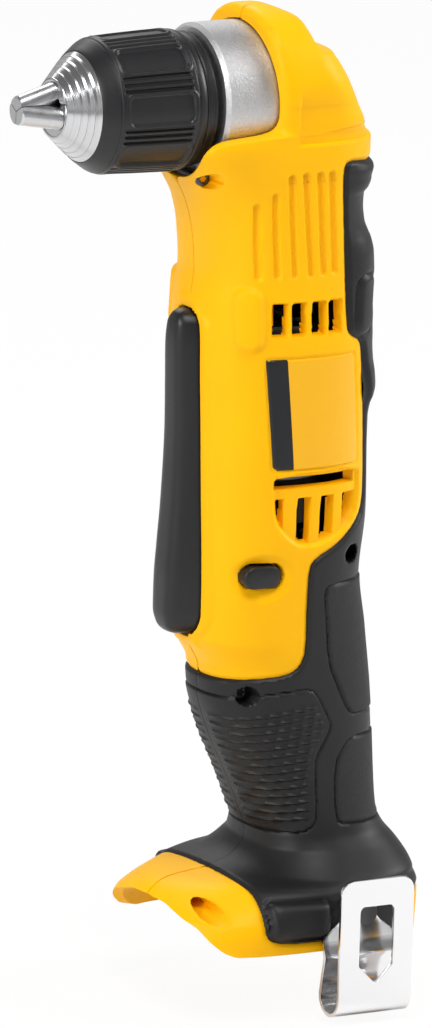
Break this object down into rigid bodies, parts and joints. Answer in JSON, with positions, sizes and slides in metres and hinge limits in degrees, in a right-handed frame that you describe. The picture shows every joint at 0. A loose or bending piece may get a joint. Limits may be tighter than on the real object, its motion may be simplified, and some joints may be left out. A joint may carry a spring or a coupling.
{
  "type": "right angle drill",
  "caption": "Slim cordless right angle drill with a keyless chuck set across a long moulded body, a paddle trigger, a soft grip, an open battery foot and a bent steel belt hook.",
  "frame": {"origin": "point on the spindle axis where the chuck's jaws grip, 4.5 mm inside its mouth", "axes": "+X out of the chuck along the bit, +Y to the tool's left, +Z from the foot up to the head"},
  "size_m": [0.1367, 0.0926, 0.3112],
  "materials": {
    "yellow_plastic": "moulded, fine grain",
    "soft_rubber": "soft overmoulding, matt",
    "label": "bare plate",
    "cast_alloy": "bead-blasted casting",
    "machine_steel": "ground",
    "bronze": "sintered",
    "copper": "drawn copper",
    "core_iron": "plain",
    "can_steel": "zinc plated",
    "chuck_steel": "turned",
    "jaw_steel": "ground",
    "sleeve_plastic": "moulded",
    "black_plastic": "moulded, fine grain",
    "lead_rubber": "insulation",
    "hook_chrome": "bright plated spring steel",
    "dark_screw": "blackened"
  },
  "bodies": {
    "body": {"housing_left": "yellow_plastic", "housing_right": "yellow_plastic", "overmould_left": "soft_rubber", "overmould_right": "soft_rubber", "label_plate": "label", "gear_case": "cast_alloy", "front_bearing": "machine_steel", "rear_bush": "bronze", "pinion_bearing": "machine_steel", "ring_gear": "machine_steel", "motor_can": "can_steel", "motor_magnets": "core_iron", "motor_end_bell": "black_plastic", "carbon_brushes": "core_iron", "trigger_pin": "machine_steel", "switch_body": "black_plastic", "terminal_block": "black_plastic", "terminal_blades": "copper", "power_leads": "lead_rubber", "belt_hook": "hook_chrome", "belt_hook_screw": "dark_screw", "threaded_inserts": "bronze", "housing_screws": "dark_screw"},
    "spindle": {"spindle": "machine_steel", "bevel_gear": "machine_steel", "chuck_body": "chuck_steel", "chuck_screw": "dark_screw", "dust_ring": "sleeve_plastic"},
    "sleeve": {"chuck_sleeve": "sleeve_plastic", "chuck_nut": "chuck_steel"},
    "jaw_1": {"chuck_jaw_1": "jaw_steel"},
    "jaw_2": {"chuck_jaw_2": "jaw_steel"},
    "jaw_3": {"chuck_jaw_3": "jaw_steel"},
    "pinion": {"bevel_pinion": "machine_steel", "output_carrier": "machine_steel"},
    "output_planet_1": {"output_planet_1": "machine_steel"},
    "output_planet_2": {"output_planet_2": "machine_steel"},
    "output_planet_3": {"output_planet_3": "machine_steel"},
    "middle_carrier": {"middle_carrier": "machine_steel"},
    "input_planet_1": {"input_planet_1": "machine_steel"},
    "input_planet_2": {"input_planet_2": "machine_steel"},
    "input_planet_3": {"input_planet_3": "machine_steel"},
    "rotor": {"motor_pinion": "machine_steel", "motor_shaft": "machine_steel", "armature": "core_iron", "commutator": "copper", "cooling_fan": "black_plastic"},
    "trigger": {"trigger": "black_plastic"},
    "plunger": {"switch_plunger": "black_plastic"},
    "reverse": {"reverse_button": "black_plastic"}
  },
  "joints": [
    {"name": "motor_spin", "type": "hinge", "parent": "body", "child": "rotor", "pos_m": [-0.073, 0, 0], "axis": [0, 0, 1], "continuous": true},
    {"name": "middle_spin", "type": "hinge", "parent": "body", "child": "middle_carrier", "pos_m": [-0.073, 0, 0], "axis": [0, 0, 1], "continuous": true},
    {"name": "pinion_spin", "type": "hinge", "parent": "body", "child": "pinion", "pos_m": [-0.073, 0, 0], "axis": [0, 0, 1], "continuous": true},
    {"name": "spindle_spin", "type": "hinge", "parent": "body", "child": "spindle", "pos_m": [0, 0, 0], "axis": [1, 0, 0], "continuous": true},
    {"name": "input_planet_1_spin", "type": "hinge", "parent": "middle_carrier", "child": "input_planet_1", "pos_m": [-0.0616, 0, 0], "axis": [0, 0, 1], "continuous": true},
    {"name": "input_planet_2_spin", "type": "hinge", "parent": "middle_carrier", "child": "input_planet_2", "pos_m": [-0.0787, 0.00987, 0], "axis": [0, 0, 1], "continuous": true},
    {"name": "input_planet_3_spin", "type": "hinge", "parent": "middle_carrier", "child": "input_planet_3", "pos_m": [-0.0787, -0.00987, 0], "axis": [0, 0, 1], "continuous": true},
    {"name": "output_planet_1_spin", "type": "hinge", "parent": "pinion", "child": "output_planet_1", "pos_m": [-0.0616, 0, 0], "axis": [0, 0, 1], "continuous": true},
    {"name": "output_planet_2_spin", "type": "hinge", "parent": "pinion", "child": "output_planet_2", "pos_m": [-0.0787, 0.00987, 0], "axis": [0, 0, 1], "continuous": true},
    {"name": "output_planet_3_spin", "type": "hinge", "parent": "pinion", "child": "output_planet_3", "pos_m": [-0.0787, -0.00987, 0], "axis": [0, 0, 1], "continuous": true},
    {"name": "sleeve_turn", "type": "hinge", "parent": "spindle", "child": "sleeve", "pos_m": [0, 0, 0], "axis": [1, 0, 0], "range_deg": [0, 3240]},
    {"name": "jaw_1_slide", "type": "slide", "parent": "spindle", "child": "jaw_1", "axis": [-0.9613, 0, 0.2756], "range_m": [0, 0.018]},
    {"name": "jaw_2_slide", "type": "slide", "parent": "spindle", "child": "jaw_2", "axis": [-0.9613, -0.2387, -0.1378], "range_m": [0, 0.018]},
    {"name": "jaw_3_slide", "type": "slide", "parent": "spindle", "child": "jaw_3", "axis": [-0.9613, 0.2387, -0.1378], "range_m": [0, 0.018]},
    {"name": "trigger_pull", "type": "hinge", "parent": "body", "child": "trigger", "pos_m": [-0.0496, 0, -0.0701], "axis": [0, 1, 0], "range_deg": [0, 4.5], "stiffness_Nm_per_rad": 1.5, "springref_deg": -4.58},
    {"name": "plunger_push", "type": "slide", "parent": "body", "child": "plunger", "axis": [-1, 0, 0], "range_m": [0, 0.0068]},
    {"name": "reverse_slide", "type": "slide", "parent": "body", "child": "reverse", "axis": [0, 1, 0], "range_m": [-0.0025, 0.0025]}
  ],
  "couplings": [
    {"joint": "middle_spin", "follows": "motor_spin", "ratio": 0.25},
    {"joint": "pinion_spin", "follows": "motor_spin", "ratio": 0.0625},
    {"joint": "spindle_spin", "follows": "motor_spin", "ratio": 0.034091},
    {"joint": "input_planet_1_spin", "follows": "motor_spin", "ratio": -0.75},
    {"joint": "input_planet_2_spin", "follows": "motor_spin", "ratio": -0.75},
    {"joint": "input_planet_3_spin", "follows": "motor_spin", "ratio": -0.75},
    {"joint": "output_planet_1_spin", "follows": "motor_spin", "ratio": -0.1875},
    {"joint": "output_planet_2_spin", "follows": "motor_spin", "ratio": -0.1875},
    {"joint": "output_planet_3_spin", "follows": "motor_spin", "ratio": -0.1875},
    {"joint": "jaw_1_slide", "follows": "sleeve_turn", "m_per_rad": 0.000318},
    {"joint": "jaw_2_slide", "follows": "sleeve_turn", "m_per_rad": 0.000318},
    {"joint": "jaw_3_slide", "follows": "sleeve_turn", "m_per_rad": 0.000318},
    {"joint": "plunger_push", "follows": "trigger_pull", "m_per_rad": 0.0864}
  ]
}
